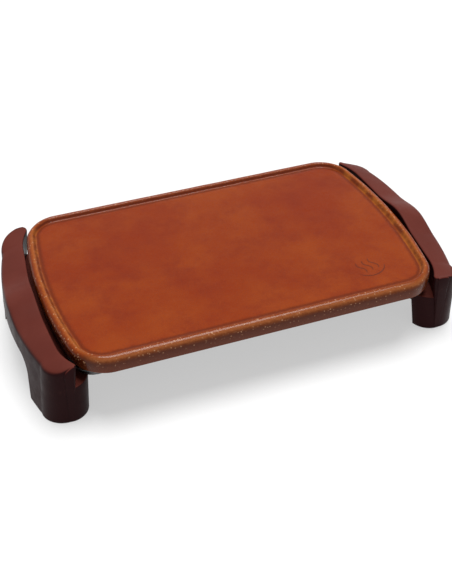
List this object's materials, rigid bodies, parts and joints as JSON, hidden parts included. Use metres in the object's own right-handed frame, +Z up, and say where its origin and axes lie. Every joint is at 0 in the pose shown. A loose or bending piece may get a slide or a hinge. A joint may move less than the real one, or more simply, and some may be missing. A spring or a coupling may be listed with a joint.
{
  "type": "electric table griddle",
  "caption": "Table-top electric griddle: rimmed glazed terracotta plate on a steel pan with a tubular heating element, between moulded handles that are also its legs.",
  "frame": {"origin": "on the table, under the middle of the griddle", "axes": "+X towards the end with the inlet (the longest extent), +Y to the rear, +Z up"},
  "size_m": [0.5378, 0.3, 0.0928],
  "materials": {
    "glazed_terracotta": "speckled reddish-brown glaze, glossy, darker on the wall",
    "handle_plastic": "dark reddish-brown, satin",
    "black_enamel": "black heat-resistant enamel, satin",
    "reflector": "bright rolled sheet",
    "element_sheath": "heat-darkened steel tube",
    "steel": "zinc-plated, satin",
    "pin_metal": "nickel-plated",
    "rubber": "black silicone rubber, matte",
    "insulator_ceramic": "unglazed off-white",
    "inlet_plastic": "black phenolic, matte"
  },
  "bodies": {
    "base": {"base_pan": "black_enamel", "heat_reflector": "reflector", "heating_element": "element_sheath", "element_bracket_left": "steel", "element_bracket_right": "steel", "element_clips": "steel", "bracket_rivets": "steel", "left_end_shell": "handle_plastic", "right_end_shell": "handle_plastic", "left_grip_cover": "handle_plastic", "right_grip_cover": "handle_plastic", "pan_screws": "steel", "cover_screws": "steel", "inlet_housing": "inlet_plastic", "contact_pin_front": "pin_metal", "contact_pin_rear": "pin_metal", "pin_insulator_front": "insulator_ceramic", "pin_insulator_rear": "insulator_ceramic", "probe_sleeve": "steel", "probe_bracket": "steel", "inlet_screws": "steel", "plate_pad_front_left": "rubber", "foot_front_left": "rubber", "plate_pad_front_right": "rubber", "foot_front_right": "rubber", "plate_pad_rear_left": "rubber", "foot_rear_left": "rubber", "plate_pad_rear_right": "rubber", "foot_rear_right": "rubber"},
    "plate": {"griddle_plate": "glazed_terracotta"}
  },
  "joints": [
    {"name": "plate_lift", "type": "slide", "parent": "base", "child": "plate", "axis": [0, 0, 1], "range_m": [0, 0.12]}
  ]
}
